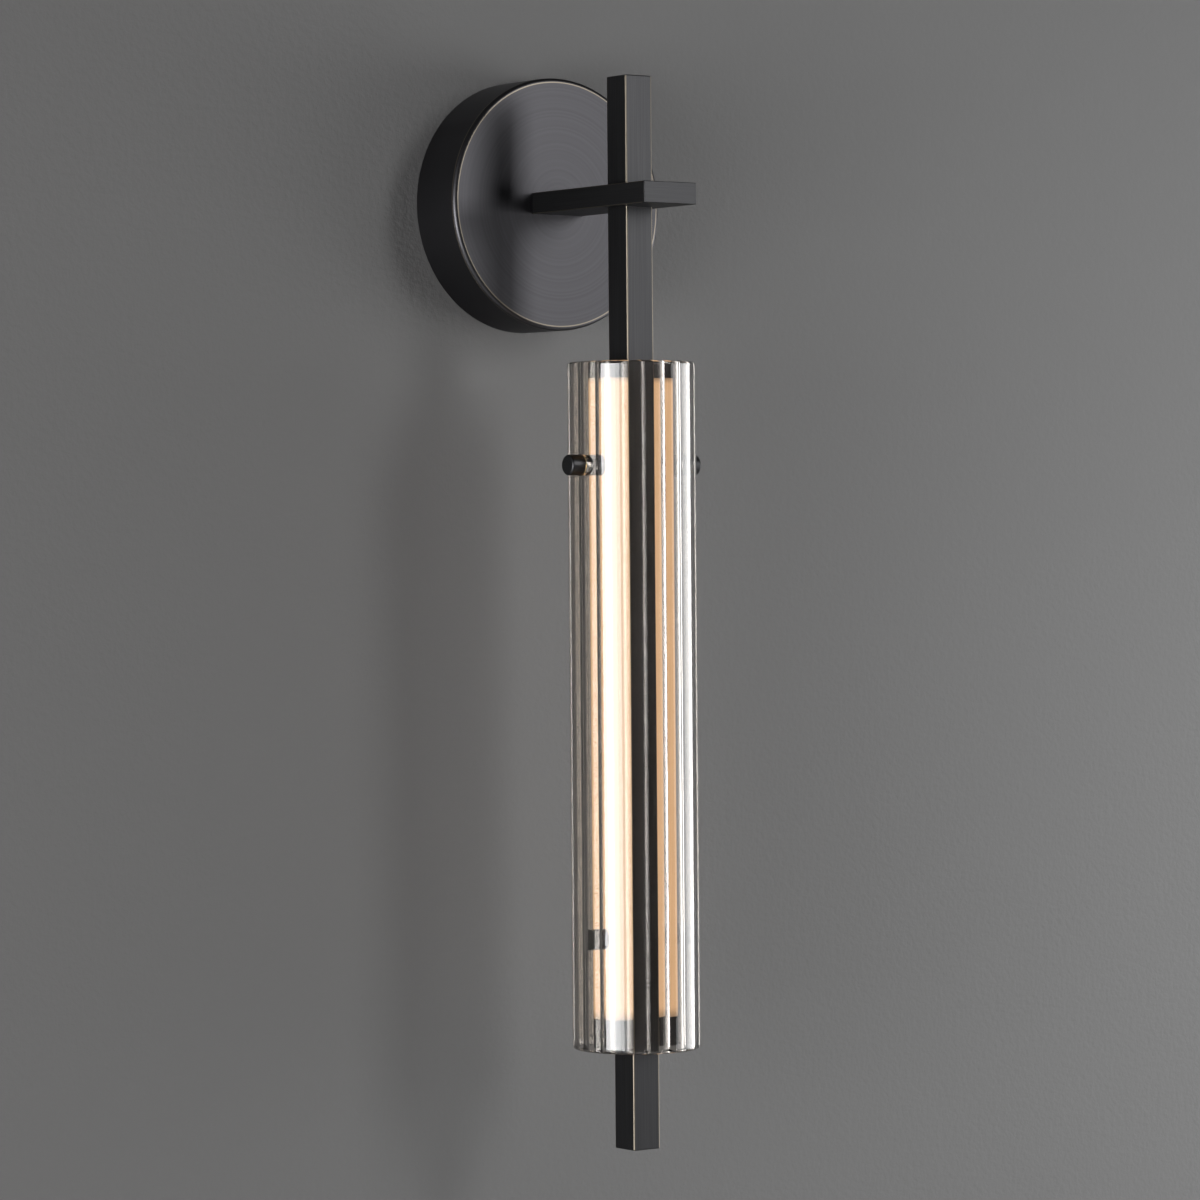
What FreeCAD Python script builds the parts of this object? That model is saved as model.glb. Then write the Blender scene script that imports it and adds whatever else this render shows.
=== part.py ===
# Linear wall light: a round canopy on the wall, a flat arm, a square upright bar, and a
# fluted glass tube round two light strips. Millimetres, +Z up, the wall is the plane y = 0,
# the light reaches towards -Y, and the origin is the centre of the wall fixing.
import FreeCAD, Part
import math
import os
import re
import Sketcher

doc = FreeCAD.newDocument("linear_wall_light")

# Sizes of each piece, one named cell each, in the order in which the light is put together
SIZES = [
    ("canopy_dia", 120.0), ("canopy_depth", 31.5), ("canopy_wall", 1.5), ("canopy_edge", 2.0),
    ("inner_bend", 1.2), ("bush_hole_dia", 7.0), ("rim_screw_setback", 9.0),
    ("strap_width", 20.0), ("strap_wall", 2.0), ("strap_gap", 0.4), ("strap_bend", 3.0),
    ("tab_depth", 15.0), ("wall_slot_width", 5.0), ("wall_slot_length", 14.0),
    ("wall_slot_inset", 25.0), ("inlet_dia", 14.0), ("inlet_bore", 9.0), ("inlet_lip", 1.5),
    ("inlet_lip_wall", 1.2), ("earth_inset", 11.0), ("earth_screw_dia", 4.0),
    ("earth_head_dia", 8.0), ("earth_head_wall", 2.4), ("lug_wall", 0.8),
    ("grub_dia", 4.0), ("grub_length", 6.0), ("grub_socket", 2.0), ("grub_socket_depth", 2.0),
    ("grub_recess", 0.3), ("thread_gap", 0.05),
    ("arm_width", 30.0), ("arm_thick", 10.0), ("arm_wall", 1.5), ("arm_reach", 120.0),
    ("arm_edge", 0.4), ("root_length", 12.0), ("plug_gap", 0.1), ("root_lead_bore", 4.6),
    ("root_screw_spacing", 18.0), ("root_screw_dia", 4.0), ("root_screw_length", 10.0),
    ("root_head_dia", 8.0), ("root_head_wall", 2.6), ("root_washer_dia", 8.4),
    ("root_washer_wall", 0.8), ("bush_bore", 5.0), ("bush_lip", 1.0), ("bush_lip_wall", 1.0),
    ("bar_side", 15.0), ("bar_wall", 1.5), ("bar_length", 500.0), ("bar_top", 56.0),
    ("bar_out", 88.5), ("bar_edge", 0.6), ("bar_gap", 0.1), ("bar_lead_hole", 6.0),
    ("cap_wall", 1.5), ("cap_plug", 5.0),
    ("glass_dia", 60.0), ("glass_wall", 6.5), ("glass_length", 320.0), ("glass_top", 77.0),
    ("glass_edge", 1.5), ("glass_bevel", 1.5), ("flute_dia", 19.1), ("flute_depth", 1.05),
    ("flute_count", 14.0), ("glass_hole_dia", 8.0), ("recess_depth", 2.0), ("recess_gap", 0.4),
    ("upper_fix", 125.0), ("lower_fix", 345.0),
    ("strip_length", 298.0), ("strip_top", 84.5), ("strip_width", 14.6), ("strip_glass_gap", 6.0),
    ("channel_base", 1.0), ("channel_wall", 0.8), ("channel_share", 0.32),
    ("cover_wall", 1.3), ("cover_ledge", 0.6), ("cover_bend", 1.2), ("seat_gap", 0.2),
    ("end_block_top", 6.5), ("end_block_bottom", 13.5),
    ("board_width", 10.0), ("board_wall", 1.0), ("board_margin", 2.0), ("chip_length", 3.5),
    ("chip_width", 2.8), ("chip_height", 0.7), ("chip_pitch", 8.0), ("chip_clear", 6.0),
    ("strip_lead_hole", 3.0), ("strip_lead_place", 6.0),
    ("rod_dia", 4.0), ("rod_clear", 2.4), ("spacer_dia", 9.6), ("neck_dia", 5.6),
    ("spacer_edge", 0.4), ("gasket_wall", 1.2), ("stem_gap", 0.2), ("sleeve_gap", 0.1),
    ("flange_wall", 0.4), ("glass_gap", 0.05), ("tip_plug", 5.0),
    ("washer_wall", 1.6), ("washer_gap", 0.05), ("washer_edge", 0.2),
    ("knob_dia", 9.6), ("knob_length", 7.3), ("knob_edge", 1.0), ("knob_grip", 5.8),
    ("driver_width_share", 0.5), ("driver_height_share", 0.235), ("driver_depth", 18.0),
    ("driver_drop_share", 0.15), ("driver_bend", 2.0), ("ear_length", 7.0), ("ear_width", 9.0),
    ("ear_wall", 1.5), ("stud_dia", 3.0), ("stud_length", 5.0), ("nut_flats", 5.5),
    ("nut_wall", 2.4), ("block_width", 36.0), ("block_height", 16.0), ("block_depth", 13.0),
    ("block_rise", 16.0), ("block_base", 4.0), ("pole_pitch", 8.0), ("pole_gap", 1.0),
    ("pole_entry_dia", 3.0), ("pole_screw_dia", 3.4), ("pole_screw_recess", 1.0),
    ("pole_screw_length", 4.0),
    ("lead_dia", 1.6), ("lead_spacing", 1.9), ("lead_back", 18.0), ("lead_bend", 4.8),
    ("lead_spread", 8.0), ("lead_tail", 2.0), ("earth_lead_aside", 14.0), ("overrun", 2.0),
]

sheet = doc.addObject("Spreadsheet::Sheet", "sizes")
for row, (alias, value) in enumerate(SIZES, start=1):
    sheet.set(f"A{row}", alias.replace("_", " "))
    sheet.set(f"B{row}", str(value))
    sheet.setAlias(f"B{row}", alias)
doc.recompute()

NAMES = {alias for alias, _ in SIZES}
ACROSS = FreeCAD.Vector(1, 0, 0)
OUTWARD = FreeCAD.Vector(0, 1, 0)
UPWARD = FreeCAD.Vector(0, 0, 1)
SIDES = (("left", 180), ("right", 0))
parts = []


def formula(text):
    """Write the sheet's name before each size, so that 'bar_side / 2' can be bound."""
    return re.sub(r"[a-z_]+", lambda word: "sizes." + word[0] if word[0] in NAMES else word[0], text)


def size(text):
    """The present value of a formula."""
    return float(sheet.evalExpression(formula(text)))


def bind(item, **formulas):
    """Tie an object's own sizes to the sheet."""
    for name, text in formulas.items():
        item.setExpression(name, formula(text))
    return item


def seat(item, x="0", y="0", z="0", turn=0, about=UPWARD):
    """Place an object: its turn is plain, and its three coordinates are bound to the sheet."""
    item.Placement = FreeCAD.Placement(FreeCAD.Vector(), FreeCAD.Rotation(about, turn))
    for letter, text in (("x", x), ("y", y), ("z", z)):
        item.setExpression(".Placement.Base." + letter, formula(text))
    return item


def keep(item, name):
    """Count an object as a finished sub-part under the name that its file gets."""
    item.Label = name
    parts.append(item)
    return item


def block(name, length, width, height, x, y, z):
    """A box, given by its three sides and its lowest corner."""
    item = bind(doc.addObject("Part::Box", name), Length=length, Width=width, Height=height)
    return seat(item, x, y, z)


def rod(name, radius, length, x="0", y="0", z="0", along=UPWARD):
    """A cylinder that starts at a point and runs along +X, +Y or +Z."""
    item = bind(doc.addObject("Part::Cylinder", name), Radius=radius, Height=length)
    if along == ACROSS:
        return seat(item, x, y, z, 90, OUTWARD)
    if along == OUTWARD:
        return seat(item, x, y, z, -90, ACROSS)
    return seat(item, x, y, z)


def nut(name, flats, height, x, y, z):
    """A six-sided prism that starts at a point and runs along +Y."""
    item = bind(doc.addObject("Part::Prism", name), Circumradius=f"( {flats} ) / sqrt( 3 )")
    bind(item, Height=height)
    return seat(item, x, y, z, -90, ACROSS)


def cut(name, base, *tools):
    """The base with every tool taken out of it."""
    for number, tool in enumerate(tools):
        result = doc.addObject("Part::Cut", f"{name}_{number}")
        result.Base = base
        result.Tool = tool
        base = result
    return base


def join(name, *pieces):
    """Pieces that touch, made one solid."""
    result = doc.addObject("Part::MultiFuse", name)
    result.Shapes = list(pieces)
    return result


def overlap(name, first, second):
    """What two shapes have in common."""
    result = doc.addObject("Part::Common", name)
    result.Base = first
    result.Tool = second
    return result


def group(name, pieces):
    """Like pieces that stay separate solids in one node."""
    result = doc.addObject("Part::Compound", name)
    result.Links = list(pieces)
    return result


def new_body(name):
    return doc.addObject("PartDesign::Body", name + "_body")


def sketch_on(body, name, role):
    """An empty sketch on one of the body's own origin planes."""
    drawing = body.newObject("Sketcher::SketchObject", name)
    plane = [item for item in body.Origin.OriginFeatures if item.Role == role][0]
    drawing.AttachmentSupport = [(plane, "")]
    drawing.MapMode = "FlatFace"
    return drawing


def pin(drawing, index, point, x, y):
    """Hold one point of a sketch at two bound distances from the origin."""
    for kind, text, axis in (("DistanceX", x, -2), ("DistanceY", y, -1)):
        if text == "0":
            drawing.addConstraint(Sketcher.Constraint("PointOnObject", index, point, axis))
        else:
            rule = Sketcher.Constraint(kind, -1, 1, index, point, size(text))
            number = drawing.addConstraint(rule)
            drawing.setExpression(f"Constraints[{number}]", formula(text))


def outline(drawing, corners):
    """A closed run of straight lines through corners given as pairs of formulas."""
    points = [FreeCAD.Vector(size(x), size(y), 0) for x, y in corners]
    first = drawing.GeometryCount
    count = len(corners)
    for place in range(count):
        drawing.addGeometry(Part.LineSegment(points[place], points[(place + 1) % count]))
    for place in range(count):
        here = first + place
        after = first + (place + 1) % count
        drawing.addConstraint(Sketcher.Constraint("Coincident", here, 2, after, 1))
    for place, (x, y) in enumerate(corners):
        pin(drawing, first + place, 1, x, y)
    return drawing


def oblong(drawing, wide, tall):
    """A rectangle about the origin of a sketch, given by half its width and half its height."""
    return outline(drawing, [(f"-1 * {wide}", f"-1 * {tall}"), (wide, f"-1 * {tall}"),
                             (wide, tall), (f"-1 * {wide}", tall)])


def circle(drawing, x, y, radius):
    """A circle with its centre and radius bound."""
    centre = FreeCAD.Vector(size(x), size(y), 0)
    index = drawing.addGeometry(Part.Circle(centre, UPWARD, size(radius)))
    number = drawing.addConstraint(Sketcher.Constraint("Radius", index, size(radius)))
    drawing.setExpression(f"Constraints[{number}]", formula(radius))
    pin(drawing, index, 3, x, y)
    return drawing


def slot(drawing, x, y, length, width):
    """An upright slot: two half circles joined by two lines, given by its centre."""
    half = f"( {length} - {width} ) / 2"
    radius = size(f"{width} / 2")
    ends = (f"{y} + {half}", f"{y} - {half}")
    high = FreeCAD.Vector(size(x), size(ends[0]), 0)
    low = FreeCAD.Vector(size(x), size(ends[1]), 0)
    aside = FreeCAD.Vector(radius, 0, 0)
    top = drawing.addGeometry(Part.ArcOfCircle(Part.Circle(high, UPWARD, radius), 0, math.pi))
    left = drawing.addGeometry(Part.LineSegment(high - aside, low - aside))
    lower = Part.ArcOfCircle(Part.Circle(low, UPWARD, radius), math.pi, 2 * math.pi)
    bottom = drawing.addGeometry(lower)
    right = drawing.addGeometry(Part.LineSegment(low + aside, high + aside))
    for here, after in ((top, left), (left, bottom), (bottom, right), (right, top)):
        drawing.addConstraint(Sketcher.Constraint("Tangent", here, 2, after, 1))
    for index, end in ((top, ends[0]), (bottom, ends[1])):
        number = drawing.addConstraint(Sketcher.Constraint("Radius", index, radius))
        drawing.setExpression(f"Constraints[{number}]", formula(f"{width} / 2"))
        pin(drawing, index, 3, x, end)
    return drawing


def pad(body, name, drawing, length, middle=False, back=False):
    feature = body.newObject("PartDesign::Pad", name)
    feature.Profile = drawing
    feature.Midplane = middle
    feature.Reversed = back
    return bind(feature, Length=length)


def pocket(body, name, drawing, length, middle=False, back=False):
    """A pocket that has to take something away."""
    doc.recompute()
    before = body.Shape.Volume
    feature = body.newObject("PartDesign::Pocket", name)
    feature.Profile = drawing
    feature.Midplane = middle
    feature.Reversed = back
    bind(feature, Length=length)
    doc.recompute()
    if not body.Shape.Volume < before:
        raise RuntimeError(name + " cuts nothing")
    return feature


def turned(body, name, drawing, axis):
    """A revolution about one of the sketch's own axes."""
    feature = body.newObject("PartDesign::Revolution", name)
    feature.Profile = drawing
    feature.ReferenceAxis = (drawing, [axis])
    feature.Angle = 360
    return feature


def dress(body, kind, name, amount, wanted):
    """Fillet or chamfer the edges of the body's last feature that a test picks."""
    doc.recompute()
    last = body.Tip
    edges = [f"Edge{n}" for n, edge in enumerate(last.Shape.Edges, start=1) if wanted(edge)]
    feature = body.newObject("PartDesign::" + kind, name)
    feature.Base = (last, edges)
    if kind == "Fillet":
        return bind(feature, Radius=amount)
    return bind(feature, Size=amount)


def runs_along(direction):
    """A test for straight edges in one direction."""
    def wanted(edge):
        if not isinstance(edge.Curve, Part.Line):
            return False
        return abs(abs(edge.Curve.Direction.dot(direction)) - 1) < 1e-6
    return wanted


def rings(radius, axis):
    """A test for full round edges of one radius about one axis direction."""
    def wanted(edge):
        if not isinstance(edge.Curve, Part.Circle):
            return False
        same = abs(edge.Curve.Radius - size(radius)) < 1e-6
        return same and abs(abs(edge.Curve.Axis.dot(axis)) - 1) < 1e-6
    return wanted


def flat_near(edge, letter, value):
    """Whether the whole edge lies at one coordinate."""
    box = edge.BoundBox
    low, high = getattr(box, letter + "Min"), getattr(box, letter + "Max")
    return abs(low - value) < 1e-6 and abs(high - value) < 1e-6


def lead(name, corners, bend):
    """A lead along its real route: straight runs joined by tangent arcs, swept by a circle."""
    points = [FreeCAD.Vector(*(size(text) for text in corner)) for corner in corners]
    edges = []
    start = points[0]
    for here, middle, after in zip(points, points[1:], points[2:]):
        incoming = (middle - here).normalize()
        outgoing = (after - middle).normalize()
        turn = incoming.getAngle(outgoing)
        reach = size(bend) * math.tan(turn / 2)
        enter = middle - incoming * reach
        leave = middle + outgoing * reach
        bisector = (outgoing - incoming).normalize()
        crown = middle + bisector * (size(bend) / math.cos(turn / 2) - size(bend))
        edges.append(Part.LineSegment(start, enter).toShape())
        edges.append(Part.Arc(enter, crown, leave).toShape())
        start = leave
    edges.append(Part.LineSegment(start, points[-1]).toShape())
    path = Part.Wire(edges)
    ring = Part.Circle(points[0], points[1] - points[0], size("lead_dia / 2")).toShape()
    item = doc.addObject("Part::Feature", name)
    item.Shape = path.makePipeShell([Part.Wire([ring])], True, False)
    length = path.Length
    area = math.pi * size("lead_dia / 2") ** 2
    print(f"{name}: {length:.1f} long, volume share {item.Shape.Volume / (length * area):.4f}")
    return seat(item)


# Canopy: a cup of sheet metal, open towards the wall, with a rounded front edge
body = new_body("canopy")
section = outline(sketch_on(body, "canopy_section", "XY_Plane"), [
    ("bush_hole_dia / 2", "-1 * canopy_depth"),
    ("canopy_dia / 2", "-1 * canopy_depth"),
    ("canopy_dia / 2", "0"),
    ("canopy_dia / 2 - canopy_wall", "0"),
    ("canopy_dia / 2 - canopy_wall", "canopy_wall - canopy_depth"),
    ("bush_hole_dia / 2", "canopy_wall - canopy_depth"),
])
turned(body, "canopy_spun", section, "V_Axis")
screw_holes = sketch_on(body, "canopy_screw_holes", "XZ_Plane")
for place in ("-1 * root_screw_spacing / 2", "root_screw_spacing / 2"):
    circle(screw_holes, place, "0", "root_screw_dia / 2 + plug_gap")
pocket(body, "canopy_front_holes", screw_holes, "canopy_depth + overrun", back=True)
rim_holes = sketch_on(body, "canopy_rim_hole", "XY_Plane")
circle(rim_holes, "0", "-1 * rim_screw_setback", "grub_dia / 2 + plug_gap")
pocket(body, "canopy_rim_holes", rim_holes, "canopy_dia + overrun", middle=True)
front_ring = rings("canopy_dia / 2", OUTWARD)
dress(body, "Fillet", "canopy_front_edge", "canopy_edge",
      lambda edge: front_ring(edge) and flat_near(edge, "Y", -size("canopy_depth")))
inner_ring = rings("canopy_dia / 2 - canopy_wall", OUTWARD)
dress(body, "Fillet", "canopy_inner_bend", "inner_bend",
      lambda edge: inner_ring(edge) and flat_near(edge, "Y", size("canopy_wall - canopy_depth")))
keep(seat(body), "canopy")

# Wall bracket: a strap bent forward at both ends, screwed to the wall through its two slots
EARTH_UP = "( canopy_dia / 2 - earth_inset )"
TAB_OUT = "sqrt( ( canopy_dia / 2 - canopy_wall - strap_gap ) ^ 2 - ( strap_width / 2 ) ^ 2 )"
body = new_body("wall_bracket")
section = outline(sketch_on(body, "strap_section", "YZ_Plane"), [
    ("0", f"-1 * {TAB_OUT}"),
    ("0", TAB_OUT),
    ("-1 * tab_depth", TAB_OUT),
    ("-1 * tab_depth", f"{TAB_OUT} - strap_wall"),
    ("-1 * strap_wall", f"{TAB_OUT} - strap_wall"),
    ("-1 * strap_wall", f"strap_wall - {TAB_OUT}"),
    ("-1 * tab_depth", f"strap_wall - {TAB_OUT}"),
    ("-1 * tab_depth", f"-1 * {TAB_OUT}"),
])
pad(body, "strap", section, "strap_width", middle=True)
across_edge = runs_along(ACROSS)
dress(body, "Fillet", "strap_outer_bends", "strap_bend",
      lambda edge: across_edge(edge) and flat_near(edge, "Y", 0))
dress(body, "Fillet", "strap_inner_bends", "strap_bend - strap_wall",
      lambda edge: across_edge(edge) and flat_near(edge, "Y", -size("strap_wall")))
openings = sketch_on(body, "strap_openings", "XZ_Plane")
slot(openings, "0", "canopy_dia / 2 - wall_slot_inset", "wall_slot_length", "wall_slot_width")
slot(openings, "0", "wall_slot_inset - canopy_dia / 2", "wall_slot_length", "wall_slot_width")
circle(openings, "0", "0", "inlet_dia / 2")
circle(openings, "0", EARTH_UP, "earth_screw_dia / 2 + thread_gap")
pocket(body, "strap_holes", openings, "strap_wall * 2 + overrun", middle=True)
tab_holes = sketch_on(body, "tab_hole", "XY_Plane")
circle(tab_holes, "0", "-1 * rim_screw_setback", "grub_dia / 2 + thread_gap")
pocket(body, "tab_holes", tab_holes, "canopy_dia", middle=True)
keep(seat(body), "wall_bracket")

# Cable inlet: a rubber grommet snapped into the strap's middle hole
body = new_body("inlet_grommet")
section = outline(sketch_on(body, "grommet_section", "XY_Plane"), [
    ("inlet_bore / 2", "0"),
    ("inlet_dia / 2 - plug_gap", "0"),
    ("inlet_dia / 2 - plug_gap", "-1 * strap_wall"),
    ("inlet_dia / 2 + inlet_lip", "-1 * strap_wall"),
    ("inlet_dia / 2 + inlet_lip", "-1 * strap_wall - inlet_lip_wall"),
    ("inlet_bore / 2", "-1 * strap_wall - inlet_lip_wall"),
])
turned(body, "grommet", section, "V_Axis")
keep(seat(body), "inlet_grommet")

# Rim screws: one headless screw at the top and one at the bottom hold canopy to strap
grubs = []
for name, turn in (("top", 0), ("bottom", 180)):
    start = "canopy_dia / 2 - grub_recess - grub_length"
    stem = rod(f"grub_{name}_stem", "grub_dia / 2", "grub_length", z=start)
    socket = bind(doc.addObject("Part::Prism", f"grub_{name}_socket"),
                  Circumradius="grub_socket / sqrt( 3 )", Height="grub_socket_depth + overrun")
    seat(socket, z="canopy_dia / 2 - grub_recess - grub_socket_depth")
    grub = cut(f"grub_{name}", stem, socket)
    grubs.append(seat(grub, y="-1 * rim_screw_setback", turn=turn, about=OUTWARD))
keep(seat(group("rim_screws_group", grubs)), "rim_screws")

# Arm: a flat rectangular tube, square to the wall, with a square opening for the bar
body = new_body("arm")
section = sketch_on(body, "arm_section", "XZ_Plane")
for inset in ("0", "arm_wall"):
    oblong(section, f"( arm_width / 2 - {inset} )", f"( arm_thick / 2 - {inset} )")
pad(body, "arm_walls", section, "arm_reach - arm_wall - canopy_depth")
outward_edge = runs_along(OUTWARD)
dress(body, "Fillet", "arm_long_edges", "arm_edge",
      lambda edge: outward_edge(edge) and abs(abs(edge.BoundBox.XMax) - size("arm_width / 2")) < 1e-6)
window = sketch_on(body, "arm_window", "XY_Plane")
middle_out = "( canopy_depth - bar_out )"
half_hole = "( bar_side / 2 + bar_gap )"
outline(window, [(f"-1 * {half_hole}", f"{middle_out} - {half_hole}"),
                 (half_hole, f"{middle_out} - {half_hole}"),
                 (half_hole, f"{middle_out} + {half_hole}"),
                 (f"-1 * {half_hole}", f"{middle_out} + {half_hole}")])
pocket(body, "arm_opening", window, "arm_thick + overrun", middle=True)
keep(seat(body, y="-1 * canopy_depth"), "arm_tube")

# Arm nose: the plate that closes the front end of the arm
body = new_body("arm_nose")
plate = oblong(sketch_on(body, "nose_outline", "XZ_Plane"), "arm_width / 2", "arm_thick / 2")
pad(body, "nose_plate", plate, "arm_wall")
dress(body, "Fillet", "nose_edges", "arm_edge",
      lambda edge: outward_edge(edge) or flat_near(edge, "Y", -size("arm_wall")))
keep(seat(body, y="arm_wall - arm_reach"), "arm_nose")

# Arm root: a threaded block welded into the back end of the arm, bored for the leads
root_bores = [rod("root_lead_hole", "root_lead_bore / 2", "root_length + overrun * 2",
                  y="-1 * canopy_depth - root_length - overrun", along=OUTWARD)]
for name, place in (("left", "-1 * root_screw_spacing / 2"), ("right", "root_screw_spacing / 2")):
    root_bores.append(rod(f"root_{name}_hole", "root_screw_dia / 2 + thread_gap",
                          "root_length + overrun * 2", x=place,
                          y="-1 * canopy_depth - root_length - overrun", along=OUTWARD))
inner_wide = "arm_width - 2 * arm_wall - 2 * plug_gap"
inner_tall = "arm_thick - 2 * arm_wall - 2 * plug_gap"
root_core = block("root_core", inner_wide, "root_length", inner_tall,
                  f"-1 * ( {inner_wide} ) / 2", "-1 * canopy_depth - root_length",
                  f"-1 * ( {inner_tall} ) / 2")
keep(seat(cut("root_block", root_core, *root_bores)), "arm_root_block")

# Arm screws and washers: they pull the arm against the canopy from inside
screws = []
washers = []
inner_face = "( canopy_wall - canopy_depth )"
for name, place in (("left", "-1 * root_screw_spacing / 2"), ("right", "root_screw_spacing / 2")):
    seat_face = f"{inner_face} + root_washer_wall"
    shank = rod(f"screw_{name}_shank", "root_screw_dia / 2", "root_screw_length", x=place,
                y=f"{seat_face} - root_screw_length", along=OUTWARD)
    head = rod(f"screw_{name}_head", "root_head_dia / 2", "root_head_wall", x=place,
               y=seat_face, along=OUTWARD)
    screws.append(join(f"screw_{name}", shank, head))
    disc = rod(f"washer_{name}_disc", "root_washer_dia / 2", "root_washer_wall", x=place,
               y=inner_face, along=OUTWARD)
    hole = rod(f"washer_{name}_hole", "root_screw_dia / 2 + plug_gap",
               "root_washer_wall + overrun * 2", x=place, y=f"{inner_face} - overrun",
               along=OUTWARD)
    washers.append(cut(f"washer_{name}", disc, hole))
keep(seat(group("arm_screws_group", screws)), "arm_screws")
keep(seat(group("arm_washers_group", washers)), "arm_washers")

# Lead bush: keeps the leads off the raw edge of the canopy's middle hole
body = new_body("lead_bush")
section = outline(sketch_on(body, "bush_section", "XY_Plane"), [
    ("bush_bore / 2", "-1 * canopy_depth"),
    ("bush_hole_dia / 2 - plug_gap", "-1 * canopy_depth"),
    ("bush_hole_dia / 2 - plug_gap", "canopy_wall - canopy_depth"),
    ("bush_hole_dia / 2 + bush_lip - plug_gap", "canopy_wall - canopy_depth"),
    ("bush_hole_dia / 2 + bush_lip - plug_gap", "canopy_wall - canopy_depth + bush_lip_wall"),
    ("bush_bore / 2", "canopy_wall - canopy_depth + bush_lip_wall"),
])
turned(body, "bush", section, "V_Axis")
keep(seat(body), "lead_bush")

# Upright bar: a square tube through the arm, drilled for the rods and the leads
body = new_body("bar")
section = sketch_on(body, "bar_section", "XY_Plane")
for inset in ("0", "bar_wall"):
    oblong(section, f"( bar_side / 2 - {inset} )", f"( bar_side / 2 - {inset} )")
pad(body, "bar_walls", section, "bar_length - 2 * cap_wall", back=True)
upright_edge = runs_along(UPWARD)
dress(body, "Fillet", "bar_long_edges", "bar_edge",
      lambda edge: upright_edge(edge) and abs(abs(edge.BoundBox.XMax) - size("bar_side / 2")) < 1e-6)
fix_holes = sketch_on(body, "bar_rod_holes", "YZ_Plane")
for depth in ("upper_fix", "lower_fix"):
    circle(fix_holes, "0", f"cap_wall - bar_top - {depth}", "rod_dia / 2 + plug_gap")
circle(fix_holes, "0", "cap_wall - bar_top - strip_top - strip_lead_place", "strip_lead_hole / 2")
circle(fix_holes, "0", "cap_wall - bar_top - strip_top - strip_length + strip_lead_place",
       "strip_lead_hole / 2")
pocket(body, "bar_cross_holes", fix_holes, "bar_side + overrun", middle=True)
feed = sketch_on(body, "bar_feed_hole", "XZ_Plane")
circle(feed, "0", "cap_wall - bar_top", "bar_lead_hole / 2")
pocket(body, "bar_feed", feed, "bar_side / 2 + overrun")
keep(seat(body, y="-1 * bar_out", z="bar_top - cap_wall"), "bar_tube")

# Bar ends: a plate with a plug that fits inside the tube, one at the top, one at the bottom
for name, height, turn in (("top", "bar_top", 180), ("bottom", "bar_top - bar_length", 0)):
    body = new_body(f"bar_cap_{name}")
    plate = oblong(sketch_on(body, f"cap_{name}_plate", "XY_Plane"), "bar_side / 2", "bar_side / 2")
    pad(body, f"cap_{name}_face", plate, "cap_wall")
    dress(body, "Fillet", f"cap_{name}_edges", "bar_edge",
          lambda edge: upright_edge(edge) or flat_near(edge, "Z", 0))
    half = "( bar_side / 2 - bar_wall - plug_gap )"
    plug = oblong(sketch_on(body, f"cap_{name}_plug", "XY_Plane"), half, half)
    pad(body, f"cap_{name}_tongue", plug, "cap_wall + cap_plug")
    keep(seat(body, y="-1 * bar_out", z=height, turn=turn, about=ACROSS), f"bar_cap_{name}")

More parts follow.
